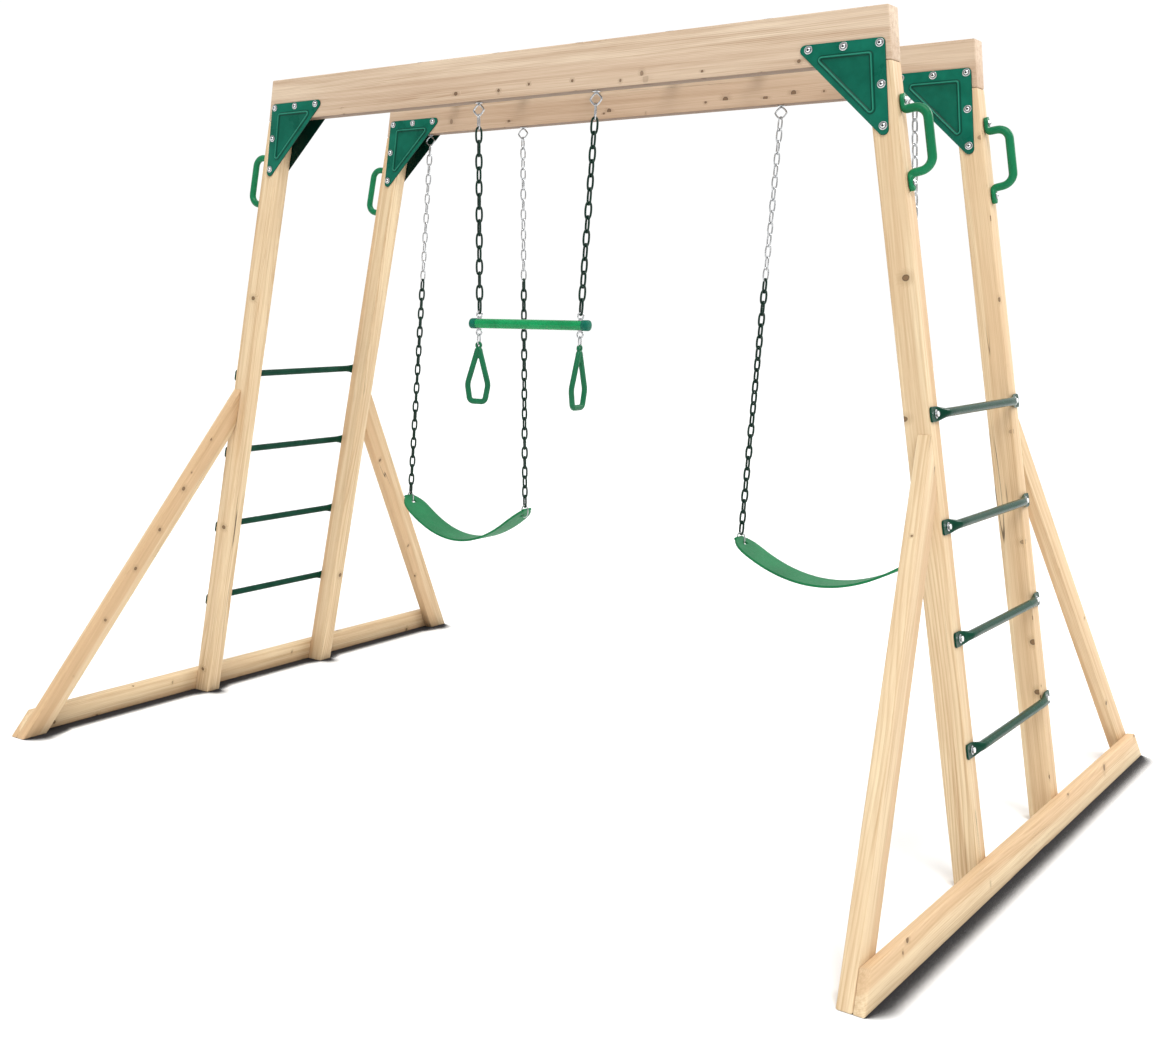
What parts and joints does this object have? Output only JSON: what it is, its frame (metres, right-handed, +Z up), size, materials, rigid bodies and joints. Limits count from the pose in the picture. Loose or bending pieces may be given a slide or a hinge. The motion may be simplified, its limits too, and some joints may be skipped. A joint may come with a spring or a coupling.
{
  "type": "monkey bars",
  "caption": "Timber monkey bars on splayed end frames with ladder rungs, grab handles, belt swings and a trapeze bar with hanging rings.",
  "frame": {"origin": "on the ground, at the centre of the footprint, midway between the two beams and the two end frames", "axes": "+X along the beams, +Y from the trapeze's beam towards the swings' beam, +Z up"},
  "size_m": [3.0986, 2.62, 2.4057],
  "materials": {
    "beam_wood": "planed softwood, pinkish tan, with knots",
    "post_wood": "planed softwood, pale yellow, with knots",
    "rung_paint": "dark green powder coat, satin",
    "plate_paint": "deep green powder coat, satin",
    "handle_plastic": "moulded green plastic",
    "belt_rubber": "moulded green rubber belt",
    "ring_plastic": "moulded green plastic",
    "bar_paint": "green powder coat, semi-gloss",
    "zinc": "bright zinc plate",
    "chain_coat": "soft dark green dip coat"
  },
  "bodies": {
    "frame": {"base_rail_left": "post_wood", "base_rail_right": "post_wood", "beam_front": "beam_wood", "beam_rear": "beam_wood", "brace_front_left": "post_wood", "brace_front_right": "post_wood", "brace_rear_left": "post_wood", "brace_rear_right": "post_wood", "gusset_front_left_front_face": "plate_paint", "gusset_front_left_rear_face": "plate_paint", "gusset_front_right_front_face": "plate_paint", "gusset_front_right_rear_face": "plate_paint", "gusset_rear_left_front_face": "plate_paint", "gusset_rear_left_rear_face": "plate_paint", "gusset_rear_right_front_face": "plate_paint", "gusset_rear_right_rear_face": "plate_paint", "handle_front_left": "handle_plastic", "handle_front_right": "handle_plastic", "handle_rear_left": "handle_plastic", "handle_rear_right": "handle_plastic", "ladder_rung_left_1": "rung_paint", "ladder_rung_left_2": "rung_paint", "ladder_rung_left_3": "rung_paint", "ladder_rung_left_4": "rung_paint", "ladder_rung_right_1": "rung_paint", "ladder_rung_right_2": "rung_paint", "ladder_rung_right_3": "rung_paint", "ladder_rung_right_4": "rung_paint", "overhead_rung_1": "rung_paint", "overhead_rung_2": "rung_paint", "overhead_rung_3": "rung_paint", "overhead_rung_4": "rung_paint", "overhead_rung_5": "rung_paint", "overhead_rung_6": "rung_paint", "post_front_left": "post_wood", "post_front_right": "post_wood", "post_rear_left": "post_wood", "post_rear_right": "post_wood", "swing_hanger_left_left": "zinc", "swing_hanger_left_right": "zinc", "swing_hanger_right_left": "zinc", "swing_hanger_right_right": "zinc", "trapeze_hanger_left": "zinc", "trapeze_hanger_right": "zinc"},
    "left_swing": {"swing_belt_left": "belt_rubber", "swing_chain_left_left": "zinc", "swing_chain_left_right": "zinc"},
    "right_swing": {"swing_belt_right": "belt_rubber", "swing_chain_right_left": "zinc", "swing_chain_right_right": "zinc"},
    "trapeze": {"trapeze_bar": "bar_paint", "trapeze_chain_left": "chain_coat", "trapeze_chain_right": "chain_coat", "trapeze_eye_bolt_left": "zinc", "trapeze_eye_bolt_right": "zinc"},
    "left_ring": {"ring_left": "ring_plastic"},
    "right_ring": {"ring_right": "ring_plastic"}
  },
  "joints": [
    {"name": "left_swing_pivot", "type": "hinge", "parent": "frame", "child": "left_swing", "pos_m": [-0.718, 0.355, 2.1907], "axis": [1, 0, 0], "range_deg": [-60, 60]},
    {"name": "right_swing_pivot", "type": "hinge", "parent": "frame", "child": "right_swing", "pos_m": [0.718, 0.355, 2.1907], "axis": [1, 0, 0], "range_deg": [-60, 60]},
    {"name": "trapeze_pivot", "type": "hinge", "parent": "frame", "child": "trapeze", "pos_m": [0, -0.355, 2.1907], "axis": [1, 0, 0], "range_deg": [-60, 60]},
    {"name": "left_ring_pivot", "type": "hinge", "parent": "trapeze", "child": "left_ring", "pos_m": [-0.193, -0.355, 1.473], "axis": [1, 0, 0], "range_deg": [-60, 60]},
    {"name": "right_ring_pivot", "type": "hinge", "parent": "trapeze", "child": "right_ring", "pos_m": [0.193, -0.355, 1.473], "axis": [1, 0, 0], "range_deg": [-60, 60]}
  ]
}
